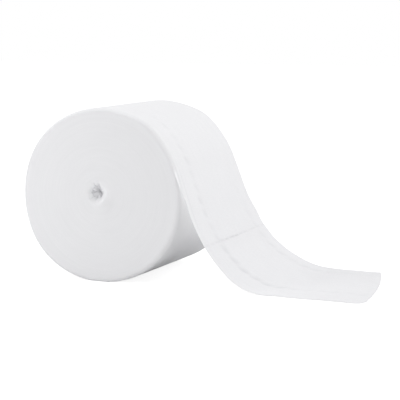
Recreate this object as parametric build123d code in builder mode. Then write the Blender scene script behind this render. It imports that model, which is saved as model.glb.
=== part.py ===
"""A soft toilet paper roll, wound without a core, on its side with its first sheets pulled out along the floor.

Millimetres. The roll's axis runs along Y, the loose end leaves towards +X and +Z is up.
The origin is on the floor, under the middle of the roll's axis.
"""
import os
from math import cos, pi, radians, sin, tan

from build123d import *

# Wound roll
roll_diameter = 120.65
roll_width = 102.9
rim_round = 3.0
rim_flats = 3
flat_spot_depth = 0.7

# Bundles of turns seen on both ends
band_turns = 4
band_first_radius = 14.0
band_depth = 0.3

# Hole that the winding mandrel leaves in the middle
hole_radius = 4.0
hole_shift_x = -3.3
hole_shift_z = 2.5
mouth_radius = 8.0
mouth_angle = 116.0
pleat_count = 7
pleat_width = 0.7
pleat_reach = 2.4

# Loose end, from the roll down to the floor
sheet_thickness = 0.3
sheet_tuck = 0.06
lift_angle = 20.0
lift_length = 30.0
lift_flare = 18.0
near_landing = 120.0
near_drop = 29.0
near_glide = 24.5
far_landing = 130.0
far_drop = 22.0
far_glide = 26.0

# Torn edge and its rounded corner
tear_near = 187.2
tear_middle = 182.4
tear_far = 169.6
tear_corner_radius = 7.0

# Perforation between the first two sheets
perforation_run = 24.5
slit_count = 13
slit_share = 0.78
slit_width = 0.6

# Places worked out from the sizes above
roll_radius = roll_diameter / 2
half_width = roll_width / 2
axis_height = roll_radius - flat_spot_depth
roll_axis = Axis((0, 0, axis_height), (0, 1, 0))
hole_x = hole_shift_x
hole_z = axis_height + hole_shift_z
front_mouth = Plane((hole_x, -half_width, hole_z), x_dir=(1, 0, 0), z_dir=(0, -1, 0))
rear_mouth = Plane((hole_x, half_width, hole_z), x_dir=(-1, 0, 0), z_dir=(0, 1, 0))
band_step = (roll_radius - rim_round - band_first_radius) / (2 * band_turns + 1)
band_middle_radius = band_first_radius + band_step / 2
band_last_radius = band_middle_radius + band_step * 2 * band_turns
down_x = sin(radians(lift_angle))
down_z = -cos(radians(lift_angle))
out_x = cos(radians(lift_angle))
out_z = sin(radians(lift_angle))
start_x = (roll_radius - sheet_tuck) * out_x
start_z = axis_height + (roll_radius - sheet_tuck) * out_z
bend_x = start_x + lift_length * down_x
bend_z = start_z + lift_length * down_z
under_gain = sheet_thickness * tan(radians(90 - lift_angle) / 4) * 4 / 3
under_bend_x = bend_x - sheet_thickness * out_x
under_bend_z = bend_z - sheet_thickness * out_z
blank_end = tear_near + 5
lift_plane = Plane((start_x, 0, start_z), x_dir=(down_x, 0, down_z), z_dir=(out_x, 0, out_z))

# Wound body with soft rims
with BuildPart() as body:
    with BuildSketch(Plane((0, 0, axis_height), x_dir=(0, 1, 0), z_dir=(1, 0, 0))):
        with BuildLine():
            rear_rim = [(half_width - rim_round * (1 - cos(pi / 2 * k / rim_flats)),
                         roll_radius - rim_round * (1 - sin(pi / 2 * k / rim_flats))) for k in range(rim_flats + 1)]
            front_rim = [(-y, r) for y, r in reversed(rear_rim)]
            Polyline((-half_width, 0), (half_width, 0), *rear_rim, *front_rim, close=True)
        make_face()
    revolve(axis=roll_axis)

    # Hole with a funnel at each mouth
    with Locations(front_mouth, rear_mouth):
        CounterSinkHole(hole_radius, mouth_radius, roll_width, mouth_angle)

    # Pleats along the hole, each a narrow fold of its own depth
    with BuildSketch(front_mouth):
        for i in range(pleat_count):
            reach = hole_radius + pleat_reach * (1 + 0.3 * sin(2.4 * i))
            with Locations(Rotation(0, 0, 360 / pleat_count * i + 10 * cos(1.7 * i))):
                Polygon((0, -pleat_width / 2), (hole_radius, -pleat_width / 2), (reach, 0),
                        (hole_radius, pleat_width / 2), (0, pleat_width / 2), align=None)
    extrude(amount=-roll_width, mode=Mode.SUBTRACT)

    # Bundle of turns set back in a spiral: half circles about two centres, wound the way the loose end runs
    for end_y, inward in ((-half_width, 1), (half_width, -1)):
        with BuildSketch(Plane((0, end_y, axis_height), x_dir=(-1, 0, 0), z_dir=(0, 1, 0))):
            with BuildLine():
                for side in (-band_step / 2, band_step / 2):
                    for k in range(2 * band_turns):
                        center = (band_step * (k % 2), 0)
                        CenterArc(center, band_middle_radius + band_step * k + side, 180 * (k % 2), 180)
                Line((band_middle_radius - band_step / 2, 0), (band_middle_radius + band_step / 2, 0))
                Line((band_last_radius - band_step / 2, 0), (band_last_radius + band_step / 2, 0))
            make_face()
        extrude(amount=band_depth * inward, mode=Mode.SUBTRACT)

    # Flat spot under the soft roll
    split(bisect_by=Plane.XY, keep=Keep.TOP)

# Loose end between its near and far edges
perforation_ends = []
perforation_slope = Vector(0, 0, 0)
with BuildPart() as tail:
    for edge_y, landing, drop, glide in ((-half_width, near_landing, near_drop, near_glide),
                                         (half_width, far_landing, far_drop, far_glide)):
        with BuildSketch(Plane.XZ.offset(-edge_y)):
            with BuildLine():
                Line((start_x, start_z), (bend_x, bend_z))
                fall = Bezier((bend_x, bend_z), (bend_x + drop * down_x, bend_z + drop * down_z),
                              (landing - glide, sheet_thickness), (landing, sheet_thickness))
                Polyline((landing, sheet_thickness), (blank_end, sheet_thickness), (blank_end, 0), (landing, 0))
                Bezier((landing, 0), (landing - glide - under_gain, 0),
                       (under_bend_x + (drop + under_gain) * down_x, under_bend_z + (drop + under_gain) * down_z),
                       (under_bend_x, under_bend_z))
                Polyline((under_bend_x, under_bend_z),
                         (start_x - sheet_thickness * out_x, start_z - sheet_thickness * out_z), (start_x, start_z))
            make_face()
        place = fall.position_at(perforation_run, position_mode=PositionMode.LENGTH)
        slope = fall.tangent_at(perforation_run, position_mode=PositionMode.LENGTH)
        perforation_ends.append(Vector(place.X, edge_y, place.Y))
        perforation_slope += Vector(slope.X, 0, slope.Y)
    loft(ruled=True)

    # Torn edge with a rounded near corner
    with BuildSketch(Plane.XY.offset(-1)):
        with BuildLine():
            ThreePointArc((tear_near, -half_width), (tear_middle, 0), (tear_far, half_width))
            Polyline((tear_far, half_width), (tear_far, roll_width), (blank_end + 5, roll_width),
                     (blank_end + 5, -roll_width), (tear_near, -roll_width), (tear_near, -half_width))
        make_face()
    extrude(amount=sheet_thickness + 2, mode=Mode.SUBTRACT)
    fillet(tail.edges().filter_by(Axis.Z).sort_by_distance((tear_near, -half_width, 0))[0], tear_corner_radius)

    # Edges that open out as the sheet leaves the soft rims
    for side in (-1, 1):
        with BuildSketch(lift_plane):
            with BuildLine():
                Bezier((0, side * (half_width - rim_round)), (lift_flare / 2, side * (half_width - rim_round / 4)),
                       (lift_flare, side * half_width))
                Polyline((lift_flare, side * half_width), (lift_flare, side * roll_width), (-lift_flare, side * roll_width),
                         (-lift_flare, side * (half_width - rim_round)), (0, side * (half_width - rim_round)))
            make_face()
        extrude(amount=2 * sheet_thickness, both=True, mode=Mode.SUBTRACT)

    # Perforation slits
    row = perforation_ends[1] - perforation_ends[0]
    with BuildSketch(Plane(perforation_ends[0] + row / 2, x_dir=row, z_dir=row.cross(perforation_slope))):
        with GridLocations(row.length / slit_count, 0, slit_count, 1):
            Rectangle(row.length / slit_count * slit_share, slit_width)
    extrude(amount=2, both=True, mode=Mode.SUBTRACT)

# Roll and loose end in one piece
with BuildPart() as tissue_roll:
    add(body.part)
    add(tail.part)

tissue_roll.part.label = "tissue_roll"
os.makedirs("parts", exist_ok=True)
export_step(tissue_roll.part, "parts/tissue_roll.step")
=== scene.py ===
"""A soft coreless toilet paper roll on its side, with its loose end pulled out along the floor."""
import logging
import math
from dataclasses import dataclass, field
from enum import Enum

import bpy
import numpy as np
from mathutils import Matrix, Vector


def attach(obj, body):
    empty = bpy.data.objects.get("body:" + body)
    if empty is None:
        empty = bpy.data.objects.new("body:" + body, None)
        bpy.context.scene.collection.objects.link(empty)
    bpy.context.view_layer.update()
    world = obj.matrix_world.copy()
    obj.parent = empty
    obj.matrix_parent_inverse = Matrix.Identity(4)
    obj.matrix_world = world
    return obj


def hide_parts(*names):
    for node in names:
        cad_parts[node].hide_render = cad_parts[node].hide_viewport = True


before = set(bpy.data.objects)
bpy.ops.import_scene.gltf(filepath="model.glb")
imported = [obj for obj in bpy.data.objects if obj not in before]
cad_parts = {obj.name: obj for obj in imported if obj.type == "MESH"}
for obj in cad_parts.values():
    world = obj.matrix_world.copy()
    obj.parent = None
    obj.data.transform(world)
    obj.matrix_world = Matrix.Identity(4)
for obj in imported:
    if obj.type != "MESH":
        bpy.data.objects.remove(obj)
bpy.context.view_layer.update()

MM = 0.001
HAIR = 0.001 * MM
ALMOST_ZERO = 1e-12
QUARTER_TURN = math.pi / 2
FULL_TURN = 2 * math.pi

# Sizes that the wound turns and the loose sheet share
WOUND_RADIUS = 60.0 * MM
SHEET_THICKNESS = 0.22 * MM
AXIS_HEIGHT = 59.625 * MM
HALF_WIDTH = 51.45 * MM
RIM_ROUND = 3.0 * MM

Span = tuple[float, float]
Triple = tuple[float, float, float]
Array = np.ndarray
Piece = bpy.types.Object
Tree = bpy.types.NodeTree
Socket = bpy.types.NodeSocket

# Layers of the tissue's grain, with their scales to the millimetre on the sheet, the ends and the side
GRAIN_DETAIL = {"Crepe": 2.0, "Streak": 3.0, "Fibre": 1.0}
GRAIN_MIDDLE = 0.5
GRAIN_TINT_RANGE = (-0.25, 0.15)
SHEET_SCALES = {"Crepe": (1.6, 0.22, 1), "Streak": (0.05, 0.9, 1), "Fibre": (2.4, 2.4, 1)}
END_SCALES = {"Crepe": (2.2, 2.6, 2.2), "Streak": (0.9, 0.7, 0.9), "Fibre": (40, 1.8, 40)}
SIDE_SCALES = {"Crepe": (1.4, 0.2, 1.4), "Streak": (0.02, 0.6, 0.02), "Fibre": (2.2, 2.2, 2.2)}
RIM_RADII_MM = (57.6, 59.6)

log = logging.getLogger("toilet_roll")


def mm(*lengths: float) -> tuple[float, ...]:
    """Gives lengths in metres from millimetres."""
    return tuple(length * MM for length in lengths)


class End(Enum):
    """The two ends of the roll, by the side of the axis that they face."""

    FRONT = -1
    REAR = 1


class Coordinates(Enum):
    """Where the grain of a tissue surface takes its place from."""

    WOUND = "wound"
    FLAT = "flat"


def smooth_step(low: float, high: float, value: Array) -> Array:
    """Rises smoothly from 0 at low to 1 at high."""
    share = np.clip((value - low) / (high - low), 0.0, 1.0)
    return share * share * (3 - 2 * share)


def soft_floor(height: Array, floor: float, blend: float) -> Array:
    """Keeps heights above a floor, with a rounded change over the blend length."""
    rise = height - floor
    return floor + 0.5 * (rise + np.sqrt(rise * rise + blend * blend))


def quarter_round(steps: int) -> list[Span]:
    """Gives the sine and the cosine at even steps through a quarter turn."""
    turns = (QUARTER_TURN * k / steps for k in range(steps + 1))
    return [(math.sin(turn), math.cos(turn)) for turn in turns]


def read_places(piece: Piece) -> Array:
    """Gives the places of a piece's vertices as rows of x, y and z."""
    return np.array([vertex.co[:] for vertex in piece.data.vertices])


def write_places(piece: Piece, places: Array) -> None:
    """Moves a piece's vertices to the rows of x, y and z."""
    piece.data.vertices.foreach_set("co", places.ravel())
    piece.data.update()


def add_grid(name: str, rows: int, columns: int) -> tuple[Piece, Array, Array]:
    """Adds a flat grid, ready to be laid in place.

    Args:
        name: the new object's name.
        rows: its rows of faces.
        columns: its columns of faces.

    Returns:
        The grid, and the row and the column of each of its vertices.
    """
    bpy.ops.object.select_all(action="DESELECT")
    bpy.ops.mesh.primitive_grid_add(x_subdivisions=rows, y_subdivisions=columns, size=2)
    grid = bpy.context.object
    grid.name = name
    flat = read_places(grid)
    row = np.rint((flat[:, 0] + 1) / 2 * rows).astype(int)
    column = np.rint((flat[:, 1] + 1) / 2 * columns).astype(int)
    return grid, row, column


def add_node(tree: Tree, kind: str, sockets: dict | None = None, **settings: object) -> bpy.types.Node:
    """Adds one shader node.

    Args:
        tree: the node tree that it goes into.
        kind: the node's type.
        sockets: values, or other nodes' outputs to link, by input name or number.
        settings: the node's own properties.

    Returns:
        The new node.
    """
    node = tree.nodes.new(kind)
    for name, value in settings.items():
        setattr(node, name, value)
    for name, value in (sockets or {}).items():
        if isinstance(value, Socket):
            tree.links.new(value, node.inputs[name])
        else:
            node.inputs[name].default_value = value
    return node


def calculate(tree: Tree, operation: str, first: Socket | float, second: Socket | float) -> Socket:
    """Adds a node that works out one number from two, and gives its result."""
    return add_node(tree, "ShaderNodeMath", {0: first, 1: second}, operation=operation).outputs[0]


def stretch(tree: Tree, place: Socket, scale: Triple) -> Socket:
    """Scales a place along its axes, so that noise there runs in streaks."""
    return add_node(tree, "ShaderNodeVectorMath", {0: place, 1: scale}, operation="MULTIPLY").outputs[0]


def mix(tree: Tree, share: Socket, first: Socket | float, second: Socket | float) -> Socket:
    """Adds a node that mixes two numbers by a share, and gives its result."""
    return add_node(tree, "ShaderNodeMix", {"Factor": share, 2: first, 3: second}).outputs[0]


def map_range(tree: Tree, value: Socket, source: Span, target: Span = (0.0, 1.0),
              **settings: str) -> Socket:
    """Adds a node that takes a number from one range to another, and gives its result."""
    ends = dict(zip(("Value", "From Min", "From Max", "To Min", "To Max"), (value, *source, *target)))
    return add_node(tree, "ShaderNodeMapRange", ends, **settings).outputs["Result"]


@dataclass(frozen=True)
class TissueFinish:
    """Soft white creped tissue."""

    name: str
    coordinates: Coordinates
    colour: Triple = (0.872, 0.872, 0.887)
    shade: Triple = (0.825, 0.825, 0.842)
    roughness: float = 0.95
    gloss: float = 0.2
    sheen: float = 0.08
    crepe_share: float = 0.5
    streak_share: float = 0.5
    fibre_share: float = 0.35
    relief: float = 0.10 * MM
    relief_strength: float = 0.35

    @staticmethod
    def grain() -> Tree:
        """Makes the shared group that mixes crepe, streaks and fibres into a height and a tint.

        Returns:
            The group, which is made only once.
        """
        group = bpy.data.node_groups.get("tissue_grain")
        if group:
            return group
        group = bpy.data.node_groups.new("tissue_grain", "ShaderNodeTree")
        for name in GRAIN_DETAIL:
            group.interface.new_socket(name, in_out="INPUT", socket_type="NodeSocketVector")
            group.interface.new_socket(name + " Share", in_out="INPUT", socket_type="NodeSocketFloat")
        for name in ("Height", "Tint"):
            group.interface.new_socket(name, in_out="OUTPUT", socket_type="NodeSocketFloat")
        inside = add_node(group, "NodeGroupInput")
        total = None
        for name, detail in GRAIN_DETAIL.items():
            noise = add_node(group, "ShaderNodeTexNoise",
                             {"Vector": inside.outputs[name], "Scale": 1.0, "Detail": detail})
            centred = calculate(group, "SUBTRACT", noise.outputs["Fac"], GRAIN_MIDDLE)
            layer = calculate(group, "MULTIPLY", centred, inside.outputs[name + " Share"])
            total = layer if total is None else calculate(group, "ADD", total, layer)
        tint = map_range(group, total, GRAIN_TINT_RANGE)
        add_node(group, "NodeGroupOutput", {"Height": total, "Tint": tint})
        return group

    def _grain_at(self, tree: Tree, place: Socket, scales: dict[str, Triple]) -> bpy.types.Node:
        """Adds the shared grain to a material.

        Args:
            tree: the material's node tree.
            place: the place that the grain follows.
            scales: the scales of each layer.

        Returns:
            The grain's node.
        """
        grain = add_node(tree, "ShaderNodeGroup", node_tree=self.grain())
        shares = {"Crepe": self.crepe_share, "Streak": self.streak_share, "Fibre": self.fibre_share}
        for name, share in shares.items():
            tree.links.new(stretch(tree, place, scales[name]), grain.inputs[name])
            grain.inputs[name + " Share"].default_value = share
        return grain

    def _sheet_grain(self, tree: Tree) -> tuple[Socket, Socket]:
        """Lays the grain along the flat strip, with its colour darkened at the marks and by painted shade.

        Args:
            tree: the material's node tree.

        Returns:
            The grain's height and its tint.
        """
        place = add_node(tree, "ShaderNodeAttribute", attribute_name="flat").outputs["Vector"]
        grain = self._grain_at(tree, place, SHEET_SCALES).outputs
        # Darkening from the marks, partly pressing of the plies and partly painted shade, with painted
        # shadow at the slits and painted shade on the free part
        pressed_and_painted_shade = add_node(tree, "ShaderNodeAttribute", attribute_name="pressed_and_painted_shade").outputs["Fac"]
        return grain["Height"], calculate(tree, "SUBTRACT", grain["Tint"], pressed_and_painted_shade)

    def _roll_grain(self, tree: Tree) -> tuple[Socket, Socket]:
        """Lays the grain round the ends along the turns, and straight over the side.

        Args:
            tree: the material's node tree.

        Returns:
            The grain's height and its tint.
        """
        place = add_node(tree, "ShaderNodeTexCoord").outputs["Object"]
        centred = add_node(tree, "ShaderNodeVectorMath", {0: place, 1: (0, 0, -AXIS_HEIGHT)},
                           operation="ADD")
        across = stretch(tree, centred.outputs[0], (1, 0, 1))
        radius = add_node(tree, "ShaderNodeVectorMath", {0: across}, operation="LENGTH").outputs["Value"]
        radius_mm = calculate(tree, "MULTIPLY", radius, 1 / MM)
        heading = add_node(tree, "ShaderNodeVectorMath", {0: across}, operation="NORMALIZE").outputs[0]
        parts = add_node(tree, "ShaderNodeSeparateXYZ", {0: heading}).outputs
        around = add_node(tree, "ShaderNodeCombineXYZ", {"X": parts["X"], "Y": radius_mm, "Z": parts["Z"]})
        ends = self._grain_at(tree, around.outputs[0], END_SCALES).outputs
        side = self._grain_at(tree, stretch(tree, place, (1 / MM, 1 / MM, 1 / MM)), SIDE_SCALES).outputs
        on_side = map_range(tree, radius_mm, RIM_RADII_MM, interpolation_type="SMOOTHSTEP")
        height, tint = (mix(tree, on_side, ends[name], side[name]) for name in ("Height", "Tint"))
        return height, tint

    def material(self) -> bpy.types.Material:
        """Makes the finish, with its grain following the surface.

        Returns:
            The new material.
        """
        material = bpy.data.materials.new(self.name)
        material.use_nodes = True
        tree = material.node_tree
        principled = tree.nodes["Principled BSDF"]
        principled.inputs["Roughness"].default_value = self.roughness
        principled.inputs["Sheen Weight"].default_value = self.sheen
        principled.inputs["Specular IOR Level"].default_value = self.gloss
        if self.coordinates is Coordinates.FLAT:
            height, tint = self._sheet_grain(tree)
        else:
            height, tint = self._roll_grain(tree)
        colour = add_node(tree, "ShaderNodeMix",
                          {"Factor": tint, 6: (*self.shade, 1), 7: (*self.colour, 1)},
                          data_type="RGBA", clamp_factor=False)
        relief = add_node(tree, "ShaderNodeBump",
                          {"Strength": self.relief_strength, "Distance": self.relief, "Height": height})
        tree.links.new(colour.outputs[2], principled.inputs["Base Color"])
        tree.links.new(relief.outputs["Normal"], principled.inputs["Normal"])
        return material


@dataclass(frozen=True)
class Swell:
    """A soft bulge round an axis: its direction, its rise, its spread to each side and its sharpness."""

    angle: float
    rise: float
    spread: float
    sharpness: float = 2.0

    def at(self, angle: Array) -> Array:
        """Gives the rise at each angle about the axis."""
        off = np.abs((angle - self.angle + math.pi) % FULL_TURN - math.pi)
        return self.rise * np.exp(-(off / self.spread) ** self.sharpness)


SWELLS = tuple(Swell(math.radians(angle), rise * MM, math.radians(spread))
               for angle, rise, spread in ((219, 2.2, 31), (149, 1.1, 31), (55, 1.5, 13.5)))



def swollen(angle: Array) -> Array:
    """Gives how far the soft roll stands out past a true circle at each angle."""
    return sum(swell.at(angle) for swell in SWELLS)


@dataclass(frozen=True)
class Wave:
    """A wave round the axis: its share, how often it comes round and where it starts."""

    share: float
    count: int
    start: float

    def at(self, angle: Array) -> Array:
        """Gives the wave's height at each angle about the axis."""
        return self.share * np.sin(self.count * angle + self.start)


@dataclass(frozen=True)
class RiseAndFall:
    """A strength that rises over one span and falls off over another."""

    rise: Span
    fall: Span
    loss: float = 1.0
    least: float = 0.0
    gain: float = 1.0

    def at(self, place: Array) -> Array:
        """Gives the strength at each place."""
        risen = self.least + self.gain * smooth_step(*self.rise, place)
        return risen * (1 - self.loss * smooth_step(*self.fall, place))


@dataclass(frozen=True)
class Pleat(Swell):
    """One fold in the wall of the centre hole: its direction, how far it opens and how wide it is."""

    sharpness: float = 1.5


@dataclass
class CentreHole:
    """The crumpled hole that the winding mandrel leaves in the middle of the roll."""

    radius: float = 3.9 * MM
    shift: Span = mm(-3.3, 2.5)
    shift_fade: Span = mm(8, 34)
    mouth_round: float = 0.9 * MM

    # Wall that closes up behind the mouth and opens again in the middle of the roll
    pinch: float = 0.92
    pinch_rise: Span = mm(1.7, 5.3)
    pinch_fade: Span = mm(14, 34)
    pinch_sway: float = 0.7 * MM
    sway_waves: tuple[Wave, ...] = (Wave(1.0, 3, 0.6), Wave(0.7, 5, 2.0), Wave(0.5, 8, 0.0))
    wall_blend: float = 1.5 * MM

    # Funnel that leans to one side, and the soft lip beyond it
    funnel_angle: float = math.radians(-47)
    funnel_shallow: float = 0.4 * MM
    funnel_deep: float = 3.4 * MM
    funnel_lean: float = 1.6
    funnel_reach: float = 4.8 * MM
    reach_shares: Span = (0.45, 0.55)
    funnel_curve: float = 1.15
    funnel_length: float = 9 * MM
    lip_height: float = 2.3 * MM
    lip_lean: int = 6
    lip_width: float = 3.0 * MM
    lip_fall: float = 6.0 * MM

    # Folds of the wall, which crease the mouth too
    fold_fade: Span = mm(4.2, 8.0)
    crease_share: float = 0.7
    pleats: tuple[Pleat, ...] = tuple(
        Pleat(math.radians(angle), opening * MM, width) for angle, opening, width in (
            (72, 1.5, 0.20), (104, 1.1, 0.18), (140, 0.5, 0.26), (181, 0.6, 0.26),
            (229, 0.7, 0.24), (262, 0.4, 0.20), (298, 0.3, 0.22), (365, 0.4, 0.28)))

    def folds(self, angle: Array, mirror: bool) -> Array:
        """Gives how far the folds open at each angle, mirrored for the rear end."""
        turned = math.pi - angle if mirror else angle
        return sum(pleat.at(turned) for pleat in self.pleats)

    def _drawn_in(self, end: End, radius: Array, angle: Array) -> Array:
        """Works out how far one mouth is drawn in by its funnel and creases, less its raised lip.

        Args:
            end: the end that the mouth is on.
            radius: distances from the hole's middle.
            angle: directions about the hole's middle.

        Returns:
            The depth at each place.
        """
        mirror = end is End.REAR
        funnel = math.pi - self.funnel_angle if mirror else self.funnel_angle
        lean = 0.5 + 0.5 * np.cos(angle - funnel)
        depth = self.funnel_shallow + (self.funnel_deep - self.funnel_shallow) * lean ** self.funnel_lean
        reach = self.radius + self.funnel_reach * (self.reach_shares[0] + self.reach_shares[1] * lean)
        slope = np.clip((reach - radius) / (reach - self.radius), 0, 1) ** self.funnel_curve
        near_hole = 1 - smooth_step(*self.fold_fade, radius)
        crease = self.crease_share * self.folds(angle, mirror) * near_hole ** 2
        span = np.where(radius < reach, self.lip_width, self.lip_fall)
        lip = self.lip_height * lean ** self.lip_lean * np.exp(-((radius - reach) / span) ** 2)
        return depth * slope + crease - lip

    def sculpt(self, places: Array) -> None:
        """Draws the mouths in, folds the wall and moves the hole off the roll's axis.

        Args:
            places: rows of x, y and z of the turned body, changed in place.
        """
        x, y, z = places[:, 0], places[:, 1], places[:, 2] - AXIS_HEIGHT
        radius, angle = np.hypot(x, z), np.arctan2(z, x)
        inset = HALF_WIDTH - np.abs(y)
        for end in End:
            here = np.sign(y) == end.value
            drawn = self._drawn_in(end, radius, angle) * np.exp(-inset / self.funnel_length)
            places[here, 1] -= (end.value * drawn)[here]
        opened = self.folds(angle, False) * (1 - smooth_step(*self.fold_fade, radius))
        on_wall = 1 - smooth_step(self.radius, self.radius + self.wall_blend, radius)
        sway = self.pinch_sway * sum(wave.at(angle) for wave in self.sway_waves)
        pinched = smooth_step(*self.pinch_rise, inset + sway) * (1 - smooth_step(*self.pinch_fade, inset))
        scale = (1 + opened / np.maximum(radius, HAIR)) * (1 - self.pinch * pinched * on_wall)
        moved = 1 - smooth_step(*self.shift_fade, radius)
        places[:, 0] = x * scale + self.shift[0] * moved
        places[:, 2] = AXIS_HEIGHT + z * scale + self.shift[1] * moved


@dataclass
class WoundRoll:
    """The body of wound turns, one sheet under the outermost turn."""

    radius: float = WOUND_RADIUS
    hole: CentreHole = field(default_factory=CentreHole)
    finish: TissueFinish = TissueFinish("wound_tissue", Coordinates.WOUND, crepe_share=0.2,
                                        streak_share=0.35, fibre_share=0.15, relief=0.06 * MM)

    # Fineness of the spun outline
    steps: int = 288
    mouth_steps: int = 6
    fine_spacing: float = 0.3 * MM
    fine_reach: float = 11 * MM
    face_columns: int = 54
    rim_steps: int = 8
    side_columns: int = 84
    wall_spacing: float = 0.7 * MM
    wall_steps: int = 15
    wall_columns: int = 10
    merge_distance: float = 0.002 * MM

    # Relief of the turns on the ends
    bundle_pitch: float = 9.63 * MM
    bundle_depth: float = 0.05 * MM
    bundle_sharpness: float = 2.2
    ripple_pitch: float = 2.7 * MM
    ripple_depth: float = 0.015 * MM
    ripple_waves: tuple[Wave, ...] = (Wave(1.3, 1, 0.0), Wave(2.1, 3, 0.7))
    ridge_span: RiseAndFall = RiseAndFall(mm(9, 20), mm(50, 56))

    # Creases round the side, swells of the outline and the flat spot
    crease_height: float = 0.055 * MM
    crease_pitch: float = 4.8 * MM
    crease_sway: float = 0.9
    crease_sway_length: float = 7 * MM
    long_crease_pitch: float = 8.3 * MM
    long_crease_share: float = 0.7
    long_crease_turns: int = 2
    crease_rise: Span = mm(59.5, 60)
    swell_rise: Span = mm(30, 57)
    rest_height: float = 0.30 * MM
    rest_blend: float = 0.1 * MM

    def _half_section(self) -> list[Span]:
        """Draws the outline that is spun.

        Returns:
            Radius and place along the axis, from the front mouth over the side and back along the hole.
        """
        hole, rim = self.hole, self.radius - RIM_ROUND
        front = [(hole.radius + hole.mouth_round * (1 - cosine),
                  -HALF_WIDTH + hole.mouth_round * (1 - sine))
                 for sine, cosine in quarter_round(self.mouth_steps)]
        fine = np.arange(front[-1][0] + self.fine_spacing, self.fine_reach, self.fine_spacing)
        face = np.linspace(self.fine_reach, rim, self.face_columns)
        front += [(float(r), -HALF_WIDTH) for r in (*fine, *face)]
        front += [(rim + RIM_ROUND * sine, -HALF_WIDTH + RIM_ROUND * (1 - cosine))
                  for sine, cosine in quarter_round(self.rim_steps)[1:]]
        along_side = np.linspace(-HALF_WIDTH + RIM_ROUND, HALF_WIDTH - RIM_ROUND, self.side_columns)
        side = [(self.radius, float(y)) for y in along_side[1:-1]]
        rear = [(r, -y) for r, y in reversed(front)]
        wall_end = HALF_WIDTH - hole.mouth_round
        mouth = [wall_end - self.wall_spacing * k for k in range(1, self.wall_steps + 1)]
        middle = [float(y) for y in np.linspace(mouth[-1], -mouth[-1], self.wall_columns)[1:-1]]
        wall = mouth + middle + [-y for y in reversed(mouth)]
        return front + side + rear + [(hole.radius, y) for y in wall]

    def build(self) -> Piece:
        """Spins the half section round the roll's axis and shapes it.

        Returns:
            The finished roll.
        """
        outline = self._half_section()
        start = (outline[0][0], outline[0][1], AXIS_HEIGHT)
        bpy.ops.object.select_all(action="DESELECT")
        bpy.ops.mesh.primitive_plane_add(size=MM, location=start)
        roll = bpy.context.object
        roll.name = "wound_roll"
        bpy.ops.object.transform_apply(location=True, rotation=True, scale=True)
        bpy.ops.object.mode_set(mode="EDIT")
        bpy.ops.mesh.select_all(action="SELECT")
        bpy.ops.mesh.merge(type="CENTER")
        for here, there in zip(outline, outline[1:] + outline[:1]):
            step = (there[0] - here[0], there[1] - here[1], 0)
            bpy.ops.mesh.extrude_region_move(TRANSFORM_OT_translate={"value": step})
        bpy.ops.mesh.select_all(action="SELECT")
        bpy.ops.mesh.spin(steps=self.steps, angle=FULL_TURN, center=(0, 0, AXIS_HEIGHT), axis=(0, 1, 0))
        bpy.ops.mesh.select_all(action="SELECT")
        bpy.ops.mesh.remove_doubles(threshold=self.merge_distance)
        bpy.ops.mesh.normals_make_consistent(inside=False)
        bpy.ops.object.mode_set(mode="OBJECT")
        self._sculpt(roll)
        bpy.ops.object.shade_smooth()
        log.info("wound roll: %d faces", len(roll.data.polygons))
        return roll

    def _sunk(self, radius: Array, angle: Array) -> Array:
        """Works out how far the turns are set back on the ends.

        Args:
            radius: distances from the roll's axis.
            angle: directions about the roll's axis.

        Returns:
            The depth at each place.
        """
        winding = FULL_TURN * radius / self.bundle_pitch + angle
        bundle = 0.5 + 0.5 * np.tanh(self.bundle_sharpness * np.sin(winding))
        sway = sum(wave.at(angle) for wave in self.ripple_waves)
        ripple = np.sin(FULL_TURN * radius / self.ripple_pitch + sway)
        return (self.bundle_depth * bundle + self.ripple_depth * (1 + ripple)) * self.ridge_span.at(radius)

    def _sculpt(self, roll: Piece) -> None:
        """Shapes the turns, the swells, the creases and the hole, and rests the roll on its flat spot.

        Args:
            roll: the spun body.
        """
        places = read_places(roll)
        x, z = places[:, 0], places[:, 2] - AXIS_HEIGHT
        radius, angle = np.hypot(x, z), np.arctan2(z, x)
        sunk = self._sunk(radius, angle)
        for end in End:
            flat = np.abs(places[:, 1] - end.value * HALF_WIDTH) < HAIR
            places[flat, 1] -= end.value * sunk[flat]
        y = places[:, 1]
        sway = self.crease_sway * np.sin(y / self.crease_sway_length)
        turned = self.long_crease_turns * angle
        pulled = np.sin(FULL_TURN * y / self.crease_pitch + sway)
        pulled += self.long_crease_share * np.sin(FULL_TURN * y / self.long_crease_pitch + turned)
        grown = swollen(angle) * smooth_step(*self.swell_rise, radius)
        grown += self.crease_height * pulled * smooth_step(*self.crease_rise, radius)
        scale = 1 + grown / np.maximum(radius, HAIR)
        places[:, 0] = x * scale
        places[:, 2] = AXIS_HEIGHT + z * scale
        self.hole.sculpt(places)
        places[:, 2] = soft_floor(places[:, 2], self.rest_height, self.rest_blend)
        write_places(roll, places)

    def dress(self, roll: Piece) -> None:
        """Gives the roll its finish and its place in the frame.

        Args:
            roll: the finished roll.
        """
        roll.data.materials.append(self.finish.material())
        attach(roll, "root")
        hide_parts("tissue_roll")


@dataclass(frozen=True)
class EdgeRun:
    """How one edge of the loose end leaves the roll, falls and lands."""

    leave: float
    lift: float
    drop: float
    glide: float
    landing: float
    height: float

    def mixed(self, other: "EdgeRun", share: float) -> "EdgeRun":
        """Gives the run of a line between this edge and another, at a share of the way across."""
        pairs = ((getattr(self, name), getattr(other, name)) for name in self.__dataclass_fields__)
        return EdgeRun(*(a + (b - a) * share for a, b in pairs))


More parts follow.
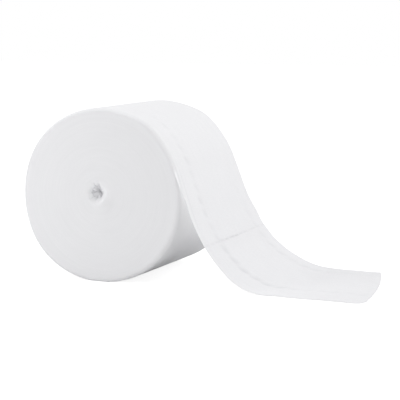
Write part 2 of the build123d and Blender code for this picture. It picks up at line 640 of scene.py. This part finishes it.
@dataclass(frozen=True)
class CrimpRow:
    """A row of marks that hold the plies together: its lines on roll and floor, its share of painted
    crease shade where the sheet lands, and its clearness.
    """

    roll_line: float
    floor_line: float
    crease_shade_share: float
    clearness: RiseAndFall
    crossing: Span = mm(-10, 150)

    def line(self, since: Array) -> Array:
        """Gives the row's place across the strip at each length since leaving the roll."""
        return self.roll_line + (self.floor_line - self.roll_line) * smooth_step(*self.crossing, since)


@dataclass(frozen=True)
class Strip:
    """Places on the strip, by row and column: along it, across it and since it leaves the roll."""

    along: Array
    across: Array
    since: Array


@dataclass
class LooseSheet:
    """The outermost turn and the loose end that runs from it down to the torn edge on the floor."""

    finish: TissueFinish = TissueFinish("loose_tissue", Coordinates.FLAT, relief_strength=0.3)

    # Fineness of the grid
    columns: int = 143
    wrap_rows: int = 164
    hang_rows: int = 52
    lying_rows: int = 104
    fall_steps: int = 500
    smooth_angle: float = math.radians(50)

    # Turn round the roll, fall and landing
    radius: float = 60.215 * MM
    wrap_end: float = math.radians(275)
    near: EdgeRun = EdgeRun(math.radians(19.55), *mm(30.3, 17.0, 28.2, 119.9, 0.4))
    far: EdgeRun = EdgeRun(math.radians(21.6), *mm(18.8, 36.7, 43.0, 140.4, 1.6))
    lying_run: float = 100 * MM
    slope_step: float = 0.6 * MM
    floor_gap: float = 0.12 * MM
    floor_blend: float = 0.02 * MM

    # Edges curled over the soft rims, which open out along the fall
    near_opening: Span = mm(0, 26.0)
    far_opening: Span = mm(-62.4, 7.8)
    curl_tuck: float = 0.35 * MM

    # Perforation, pulled most in its middle
    perforation: float = 54.5 * MM
    bond_every: int = 11
    slit_height: float = 0.12 * MM
    slit_lap: float = 0.16 * MM
    slit_sink: float = 0.5 * MM
    sink_shares: Triple = (-0.2, 1.0, 0.45)
    # Painted shadow: how much the colour darkens along the parted slits, in place of the shade inside them
    slit_painted_shadow: float = 0.65
    lip_gain: float = 1.8
    strain_least: float = 0.35
    strain_gain: float = 0.65
    strain_middle: float = -6 * MM
    strain_width: float = 19 * MM

    # Torn edge
    tear: Triple = mm(187.9, 182.4, 169.6)
    corner_radius: float = 7.4 * MM
    fringe: float = 0.09 * MM
    fringe_seed: int = 11
    bond_tongue: float = 0.5 * MM

    # Crimp marks in two rows, with painted shade of the crease added to their colour where the sheet lands
    crimp_rows: tuple[CrimpRow, ...] = (
        CrimpRow(*mm(-29.5, -24.0), 0.8,
                 RiseAndFall(mm(-48, -12), mm(95, 135), loss=0.55, least=0.2, gain=0.8)),
        CrimpRow(*mm(36.5, 39.5), 0.45,
                 RiseAndFall(mm(5, 60), mm(110, 132), loss=0.8, least=0.1, gain=0.5)))
    crimp_pitch: float = 9.5 * MM
    crimp_width: float = 2.6 * MM
    crimp_depth: float = 0.3 * MM
    crimp_seed: int = 3
    mark_count: int = 160
    mark_forces: Span = (0.35, 1)
    mark_sway: float = 0.5 * MM
    mark_slant: float = 2.4 * MM
    mark_roundness: float = 1.5
    mark_shares: Span = (0.15, 1.1)
    # Painted shade of the crease where the sheet lands, stronger in the middle of each mark
    crease_shade: RiseAndFall = RiseAndFall(mm(48, 75), mm(95, 130), loss=0.85)
    crease_shade_shares: Span = (0.6, 0.4)

    # Pressed line along the near edge where it leaves the rim
    edge_line: float = 5 * MM
    edge_width: float = 0.9 * MM
    edge_force: float = 0.7
    edge_span: RiseAndFall = RiseAndFall(mm(-15, 8), mm(30, 50))

    # Loose waves, dents, and painted shade that darkens the free single sheet for the light that passes
    # through it
    wave_height: float = 0.16 * MM
    wave_length: float = 43 * MM
    wave_slant: float = 0.6
    wave_breadth: float = 103 * MM
    wave_rise: Span = mm(4, 40)
    dent_count: int = 14
    dent_lengths: Span = mm(9, 24)
    dent_share: float = 0.0022
    dent_seed: int = 5
    free_sheet_shade: float = 0.55
    free_sheet_shade_rise: Span = mm(5, 60)

    @property
    def slit_row(self) -> int:
        """Gives the row of faces that the slits are cut in."""
        return self.wrap_rows + self.hang_rows

    def _tear_at(self, across: float) -> float:
        """Finds the torn edge, with its rounded near corner.

        Args:
            across: a place across the strip.

        Returns:
            How far out the edge is there.
        """
        share = across / HALF_WIDTH
        near, middle, far = self.tear
        out = middle + (far - near) / 2 * share + ((far + near) / 2 - middle) * share * share
        short = self.corner_radius - min(across + HALF_WIDTH, self.corner_radius)
        return out - self.corner_radius + math.sqrt(self.corner_radius ** 2 - short ** 2)

    def _line(self, across: float) -> tuple[Array, Array, float, float]:
        """Follows one line of the strip from where it leaves the roll.

        Args:
            across: the line's place across the strip.

        Returns:
            Lengths along the line, its places as x and z, its leaving angle and its length to the tear.
        """
        share = 0.5 + 0.5 * across / HALF_WIDTH
        run = self.near.mixed(self.far, share)
        out = np.array((math.cos(run.leave), math.sin(run.leave)))
        down = np.array((math.sin(run.leave), -math.cos(run.leave)))
        start = np.array((0, AXIS_HEIGHT)) + self.radius * out
        bend = start + run.lift * down
        height = self.near.height + (self.far.height - self.near.height) * share ** 2
        land = np.array((run.landing, height))
        t = np.linspace(0, 1, self.fall_steps)[:, None]
        fall = ((1 - t) ** 3 * bend + 3 * (1 - t) ** 2 * t * (bend + run.drop * down)
                + 3 * (1 - t) * t * t * (land - (run.glide, 0)) + t ** 3 * land)
        path = np.concatenate(([start], fall, [land + (self.lying_run, 0)]))
        lengths = np.concatenate(([0], np.cumsum(np.linalg.norm(np.diff(path, axis=0), axis=1))))
        torn = lengths[-2] + self._tear_at(across) - run.landing
        return lengths, path, run.leave, torn

    def drape(self, along: Array, across: Array) -> tuple[Array, Array, Array]:
        """Lays the strip round the roll and down to the floor.

        Args:
            along: places along the strip by row and column, from the near edge's leaving line.
            across: places across the strip by column.

        Returns:
            The places, the outward directions and the length since leaving the roll, by row and column.
        """
        places = np.zeros(along.shape + (3,))
        outward = np.zeros_like(places)
        since = np.zeros_like(along)
        for column, v in enumerate(across):
            lengths, path, leave, _ = self._line(v)
            s = along[:, column] + self.radius * (leave - self.near.leave)
            angle = leave - np.minimum(s, 0) / self.radius
            wrapped = s < 0
            radius = self.radius + swollen(angle)
            x = np.where(wrapped, radius * np.cos(angle), np.interp(s, lengths, path[:, 0]))
            z = np.where(wrapped, AXIS_HEIGHT + radius * np.sin(angle), np.interp(s, lengths, path[:, 1]))
            before, after = s - self.slope_step, s + self.slope_step
            run_x, run_z = (np.interp(after, lengths, path[:, k]) - np.interp(before, lengths, path[:, k])
                            for k in (0, 1))
            size = np.hypot(run_x, run_z) + ALMOST_ZERO
            places[:, column] = np.stack((x, np.full_like(x, v), z), axis=1)
            outward[:, column, 0] = np.where(wrapped, np.cos(angle), -run_z / size)
            outward[:, column, 2] = np.where(wrapped, np.sin(angle), run_x / size)
            since[:, column] = s
        return places, outward, since

    def _rows(self, across: Array) -> Array:
        """Spaces the rows along the strip, closed up at the perforation.

        Args:
            across: places across the strip by column.

        Returns:
            Places along the strip by row and column.
        """
        wrap = np.linspace(-(self.wrap_end - self.near.leave) * self.radius, 0, self.wrap_rows + 1)
        hang = np.linspace(0, self.perforation, self.hang_rows + 1)[1:]
        fixed = np.concatenate((wrap, hang))
        along = np.empty((len(fixed) + self.lying_rows + 1, len(across)))
        lip = self.slit_height / 2 - self.slit_lap * self._lips(across)
        fringe = np.random.default_rng(self.fringe_seed).normal(0, self.fringe, len(across))
        for column, v in enumerate(across):
            _, _, leave, torn = self._line(v)
            tongue = self.bond_tongue if column % self.bond_every == 0 else 0.0
            last = torn - self.radius * (leave - self.near.leave) + fringe[column] + tongue
            along[:len(fixed), column] = fixed
            along[len(fixed):, column] = np.linspace(self.perforation, last, self.lying_rows + 1)
            along[len(fixed) - 1, column] -= lip[column]
            along[len(fixed), column] += lip[column]
        return along

    def _strain(self, across: Array) -> Array:
        """Gives how hard the pull on the sheet strains the perforation along its width."""
        off = (across - self.strain_middle) / self.strain_width
        return self.strain_least + self.strain_gain * np.exp(-off ** 2)

    def _lips(self, across: Array) -> Array:
        """Works out how far the sheet parts at the perforation.

        Args:
            across: places across the strip by column.

        Returns:
            The parting by column, 0 at the bonds and most in the middle of a slit.
        """
        column = np.rint((across + HALF_WIDTH) / (2 * HALF_WIDTH) * self.columns)
        free = np.sin(np.pi * ((column - 1) % self.bond_every) / (self.bond_every - 1))
        return np.clip(self.lip_gain * free, 0, 1) * self._strain(across)

    def _crimp(self, strip: Strip) -> Array:
        """Presses soft bruises into the strip along its two rows of marks and at its near edge, and adds
        painted shade of the crease where the sheet lands.

        Args:
            strip: the places on the strip.

        Returns:
            How deep the marks dent the strip and how much they darken its colour, by row and column; the
            darkening is partly the pressing of the plies and partly painted shade.
        """
        rng = np.random.default_rng(self.crimp_seed)
        step = strip.along / self.crimp_pitch
        mark = np.floor(step).astype(int)
        phase = step - mark
        shape = np.sin(np.pi * phase) ** self.mark_roundness
        # Painted shade of the crease where the sheet lands
        crease_shade = self.crease_shade.at(strip.since) * (self.crease_shade_shares[0] + self.crease_shade_shares[1] * shape)
        pressed_and_painted_shade = np.zeros_like(step)
        for row in self.crimp_rows:
            force = rng.uniform(*self.mark_forces, self.mark_count)
            sway = rng.normal(0, self.mark_sway, self.mark_count)
            off = strip.across - row.line(strip.since) - sway[mark] * shape
            off -= (phase - 0.5) * self.mark_slant
            marks = self.mark_shares[0] + self.mark_shares[1] * force[mark] * shape
            marks = row.clearness.at(strip.since) * marks + row.crease_shade_share * crease_shade
            pressed_and_painted_shade += marks * np.exp(-(off / self.crimp_width) ** 2)
        edge = (strip.across + HALF_WIDTH - self.edge_line) / self.edge_width
        return pressed_and_painted_shade + self.edge_force * self.edge_span.at(strip.since) * np.exp(-edge * edge)

    def _waves(self, strip: Strip) -> Array:
        """Works out the loose waves and soft dents of the free part.

        Args:
            strip: the places on the strip.

        Returns:
            How far the sheet stands out, by row and column.
        """
        rng = np.random.default_rng(self.dent_seed)
        place = strip.along / self.wave_length + self.wave_slant * strip.across / self.wave_breadth
        wave = self.wave_height * np.sin(FULL_TURN * place)
        for _ in range(self.dent_count):
            length = rng.uniform(*self.dent_lengths)
            heading, phase = rng.uniform(0, math.pi), rng.uniform(0, FULL_TURN)
            place = (strip.along * math.cos(heading) + strip.across * math.sin(heading)) / length
            wave = wave + self.dent_share * length * np.sin(FULL_TURN * place + phase)
        return wave * smooth_step(*self.wave_rise, strip.since)

    def _curl(self, places: Array, outward: Array, strip: Strip) -> None:
        """Bends the edges of the strip over the roll's soft rims.

        Args:
            places: where the sheet is by row and column, changed in place.
            outward: the outward directions by row and column.
            strip: the places on the strip.
        """
        near, far = (1 - smooth_step(*span, strip.since) for span in (self.near_opening, self.far_opening))
        curled = np.where(strip.across < 0, near, far)
        turn = np.clip((np.abs(strip.across) - HALF_WIDTH + RIM_ROUND) / RIM_ROUND, 0, 1)
        bent = RIM_ROUND + (self.radius - WOUND_RADIUS)
        tucked = bent * (1 - np.cos(turn)) + self.curl_tuck * turn ** 2
        places -= outward * (curled * tucked)[:, :, None]
        places[:, :, 1] -= np.sign(strip.across) * curled * (turn * RIM_ROUND - bent * np.sin(turn))

    def _shape(self, along: Array, across: Array) -> tuple[Array, Array]:
        """Drapes the strip, with its waves, marks, parted slits and curled edges.

        Args:
            along: places along the strip by row and column.
            across: places across the strip by column.

        Returns:
            The places, and how much the sheet's colour is darkened by the marks and by painted shade, by
            row and column.
        """
        places, outward, since = self.drape(along, across)
        strip = Strip(along, across[None, :], since)
        pressed_and_painted_shade = self._crimp(strip)
        out = self._waves(strip) - self.crimp_depth * pressed_and_painted_shade
        lips = self._lips(across)
        for after, share in enumerate(self.sink_shares):
            out[self.slit_row + after] -= self.slit_sink * share * lips
        # Painted shadow darkens the colour of the two rows beside the parted slits
        pressed_and_painted_shade[self.slit_row:self.slit_row + 2] += self.slit_painted_shadow * (self._strain(across) + lips)
        places += outward * out[:, :, None]
        self._curl(places, outward, strip)
        places[:, :, 2] = soft_floor(places[:, :, 2], self.floor_gap, self.floor_blend)
        # Painted shade: the free part's colour darkens farther from the roll, for the light that passes
        # through the single sheet
        return places, pressed_and_painted_shade + self.free_sheet_shade * smooth_step(*self.free_sheet_shade_rise, since)

    def build(self) -> Piece:
        """Lays a grid round the roll and down to the floor, slits the perforation and gives it thickness.

        Returns:
            The finished sheet.
        """
        across = np.linspace(-HALF_WIDTH, HALF_WIDTH, self.columns + 1)
        along = self._rows(across)
        sheet, row, column = add_grid("loose_sheet", along.shape[0] - 1, self.columns)
        places, pressed_and_painted_shade = self._shape(along, across)
        write_places(sheet, places[row, column])
        flat = sheet.data.attributes.new("flat", "FLOAT_VECTOR", "POINT")
        lying = np.stack((along[row, column] / MM, across[column] / MM, np.zeros(len(row))), axis=1)
        flat.data.foreach_set("vector", lying.ravel())
        press_and_shade = sheet.data.attributes.new("pressed_and_painted_shade", "FLOAT", "POINT")
        press_and_shade.data.foreach_set("value", pressed_and_painted_shade[row, column].ravel())
        self._slit(sheet, row, column)
        thicken = sheet.modifiers.new("thickness", "SOLIDIFY")
        thicken.thickness = SHEET_THICKNESS
        thicken.offset = 0
        bpy.ops.object.modifier_apply(modifier=thicken.name)
        bpy.ops.object.shade_smooth_by_angle(angle=self.smooth_angle)
        log.info("loose sheet: %d faces", len(sheet.data.polygons))
        return sheet

    def _slit(self, sheet: Piece, row: Array, column: Array) -> None:
        """Cuts the perforation, leaving a bond between each slit and the next.

        Args:
            sheet: the laid grid.
            row: the row of each of its vertices.
            column: the column of each of its vertices.
        """
        bpy.ops.object.mode_set(mode="EDIT")
        bpy.ops.mesh.select_mode(type="FACE")
        bpy.ops.mesh.select_all(action="DESELECT")
        bpy.ops.object.mode_set(mode="OBJECT")
        for face in sheet.data.polygons:
            corners = list(face.vertices)
            in_row = row[corners].min() == self.slit_row
            face.select = bool(in_row and column[corners].min() % self.bond_every != 0)
        bpy.ops.object.mode_set(mode="EDIT")
        bpy.ops.mesh.delete(type="FACE")
        bpy.ops.object.mode_set(mode="OBJECT")

    def dress(self, sheet: Piece, roll: Piece) -> None:
        """Gives the sheet its finish and its place in the frame.

        Args:
            sheet: the finished sheet.
            roll: what it lies on; not used.
        """
        sheet.data.materials.append(self.finish.material())
        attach(sheet, "root")
        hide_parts("tissue_roll")
        length = self._line(0)[3] + (self.wrap_end - self.near.leave) * self.radius


@dataclass(frozen=True)
class SoftBox:
    """One broad soft lamp of the studio."""

    name: str
    place: Triple
    aim: Triple
    size: Span
    watts: float

    def build(self) -> None:
        """Hangs the lamp and turns it towards its aim."""
        data = bpy.data.lights.new(self.name, "AREA")
        data.shape = "RECTANGLE"
        data.size, data.size_y = self.size
        data.energy = self.watts
        lamp = bpy.data.objects.new(self.name, data)
        lamp.visible_camera = False
        lamp.location = self.place
        lamp.rotation_euler = (Vector(self.aim) - Vector(self.place)).to_track_quat("-Z", "Y").to_euler()
        bpy.context.collection.objects.link(lamp)


@dataclass
class Studio:
    """The white floor, the lamps and the camera."""

    surround: float = 0.52
    lamps: tuple[SoftBox, ...] = (
        SoftBox("top_box", (-0.1, 0.1, 1.5), (0.05, 0, 0), (1.6, 1.6), 10.5),
        SoftBox("left_box", (-0.38, -0.40, 0.27), (-0.03, -0.05, 0.07), (0.28, 0.28), 0.83),
        SoftBox("right_box", (1.5, 0.1, 0.45), (0.08, 0, 0.04), (1.0, 0.8), 6.5))

    # Floor, lifted towards white, with painted shade in its unseen bounce colour near the roll's front, so
    # that it throws back less light in the hollow under the loose end
    floor_size: float = 8.0
    floor_shade: float = 0.9
    floor_glow: float = 1.5
    floor_lift: float = 0.58
    dim_spot: Triple = mm(36, -32, 0)
    dim_reach: Span = mm(8, 30)
    dim_shade: float = 0.44

    # Unseen glowing card under the loose end, with its glow between two heights at the front and the rear
    card_rows: int = 30
    card_columns: int = 10
    card_along: Span = mm(0.5, 53)
    card_across: Span = (-HALF_WIDTH, 46 * MM)
    card_gap: float = 0.8 * MM
    glow_front: tuple[Span, Span] = (mm(28, 80), (0.38, 1.15))
    glow_rear: tuple[Span, Span] = (mm(28, 38), (4.6, 1.9))
    glow_behind: float = 0.56

    # Camera
    camera_azimuth: float = math.radians(23.668)
    camera_elevation: float = math.radians(7.64)
    camera_distance: float = 960.3 * MM
    look: Triple = mm(51.91, 0, 53.5)
    lens: float = 122.56
    sensor: float = 36.0

    def _white(self, tree: Tree, seen: Socket, unseen: Socket) -> Socket:
        """Picks what the camera and mirror-like surfaces see, in place of what lights the object.

        Args:
            tree: the node tree that it goes into.
            seen: the shader for the camera and mirror-like surfaces.
            unseen: the shader for all other light.

        Returns:
            The shader for both.
        """
        path = add_node(tree, "ShaderNodeLightPath")
        rays = path.outputs["Is Camera Ray"]
        for name in ("Is Glossy Ray", "Is Transmission Ray"):
            rays = calculate(tree, "MAXIMUM", rays, path.outputs[name])
        return add_node(tree, "ShaderNodeMixShader", {0: rays, 1: unseen, 2: seen}).outputs[0]

    def _world(self) -> None:
        """Surrounds the object with even light in front of a white backdrop."""
        world = bpy.data.worlds.new("studio")
        world.use_nodes = True
        bpy.context.scene.world = world
        tree = world.node_tree
        tree.nodes.clear()
        seen = add_node(tree, "ShaderNodeBackground", {"Color": (1, 1, 1, 1), "Strength": 1.0})
        unseen = add_node(tree, "ShaderNodeBackground", {"Color": (1, 1, 1, 1), "Strength": self.surround})
        surface = self._white(tree, seen.outputs[0], unseen.outputs[0])
        add_node(tree, "ShaderNodeOutputWorld", {"Surface": surface})

    def _floor(self) -> None:
        """Lays the white floor, which keeps the roll's shadow."""
        bpy.ops.object.select_all(action="DESELECT")
        bpy.ops.mesh.primitive_plane_add(size=self.floor_size, location=(0, 0, 0))
        floor = bpy.context.object
        floor.name = "studio_floor"
        material = bpy.data.materials.new("studio_floor")
        material.use_nodes = True
        tree = material.node_tree
        principled = tree.nodes["Principled BSDF"]
        principled.inputs["Base Color"].default_value = (*[self.floor_shade] * 3, 1)
        principled.inputs["Roughness"].default_value = 1.0
        place = add_node(tree, "ShaderNodeTexCoord").outputs["Object"]
        off = add_node(tree, "ShaderNodeVectorMath", {0: place, 1: self.dim_spot}, operation="DISTANCE")
        # Painted shade: the unseen bounce colour darkens towards the dim spot near the roll
        shade = map_range(tree, off.outputs["Value"], self.dim_reach, (self.dim_shade, self.floor_shade))
        bounce = add_node(tree, "ShaderNodeBsdfDiffuse", {"Color": shade})
        glow = add_node(tree, "ShaderNodeEmission", {"Strength": self.floor_glow})
        lifted = add_node(tree, "ShaderNodeMixShader",
                          {0: self.floor_lift, 1: principled.outputs[0], 2: glow.outputs[0]})
        tree.links.new(self._white(tree, lifted.outputs[0], bounce.outputs[0]),
                       tree.nodes["Material Output"].inputs["Surface"])
        floor.data.materials.append(material)

    def _glow(self) -> bpy.types.Material:
        """Makes the card's glow, graded from front to rear and by height, and softer towards the sheet.

        Returns:
            The new material.
        """
        material = bpy.data.materials.new("studio_glow")
        material.use_nodes = True
        tree = material.node_tree
        place = add_node(tree, "ShaderNodeTexCoord").outputs["Object"]
        parts = add_node(tree, "ShaderNodeSeparateXYZ", {0: place}).outputs
        rearward = map_range(tree, parts["Y"], (-HALF_WIDTH, HALF_WIDTH))
        front, rear = (map_range(tree, parts["Z"], *glow) for glow in (self.glow_front, self.glow_rear))
        inwards = mix(tree, rearward, front, rear)
        from_roll = add_node(tree, "ShaderNodeNewGeometry").outputs["Backfacing"]
        strength = mix(tree, from_roll, self.glow_behind, inwards)
        light = add_node(tree, "ShaderNodeEmission", {"Strength": strength})
        tree.links.new(light.outputs[0], tree.nodes["Material Output"].inputs["Surface"])
        return material

    def _glow_card(self, loose: LooseSheet) -> None:
        """Lights the hollow under the loose end as daylight does through sheer tissue.

        Args:
            loose: the sheet that the card lies under.
        """
        across = np.linspace(*self.card_across, self.card_columns + 1)
        along = np.repeat(np.linspace(*self.card_along, self.card_rows + 1)[:, None], len(across), axis=1)
        places, outward, _ = loose.drape(along, across)
        places -= outward * self.card_gap
        card, row, column = add_grid("studio_glow_card", self.card_rows, self.card_columns)
        write_places(card, places[row, column])
        card.data.materials.append(self._glow())
        card.visible_camera = card.visible_glossy = card.visible_shadow = False

    def _camera(self) -> None:
        """Places the camera a little above the roll and to the right of its front end."""
        scene = bpy.context.scene
        data = bpy.data.cameras.new("camera")
        data.lens = self.lens
        data.sensor_width = self.sensor
        camera = bpy.data.objects.new("camera", data)
        level = math.cos(self.camera_elevation)
        back = Vector((math.sin(self.camera_azimuth) * level, -math.cos(self.camera_azimuth) * level,
                       math.sin(self.camera_elevation)))
        camera.location = Vector(self.look) + back * self.camera_distance
        camera.rotation_euler = (-back).to_track_quat("-Z", "Y").to_euler()
        scene.collection.objects.link(camera)
        scene.camera = camera

    def build(self, loose: LooseSheet) -> None:
        """Sets up the floor, the light and the camera.

        Args:
            loose: the sheet that the glow card lies under.
        """
        bpy.context.scene.view_settings.view_transform = "Standard"
        self._world()
        self._floor()
        self._glow_card(loose)
        for lamp in self.lamps:
            lamp.build()
        self._camera()
        log.info("studio: %d lamps", len(self.lamps))


def main() -> None:
    """Builds and dresses the roll, its loose end and the studio."""
    logging.basicConfig(level=logging.INFO, format="%(name)s: %(message)s")
    wound = WoundRoll()
    roll = wound.build()
    wound.dress(roll)
    loose = LooseSheet()
    sheet = loose.build()
    loose.dress(sheet, roll)
    Studio().build(loose)


if __name__ == "__main__":
    main()
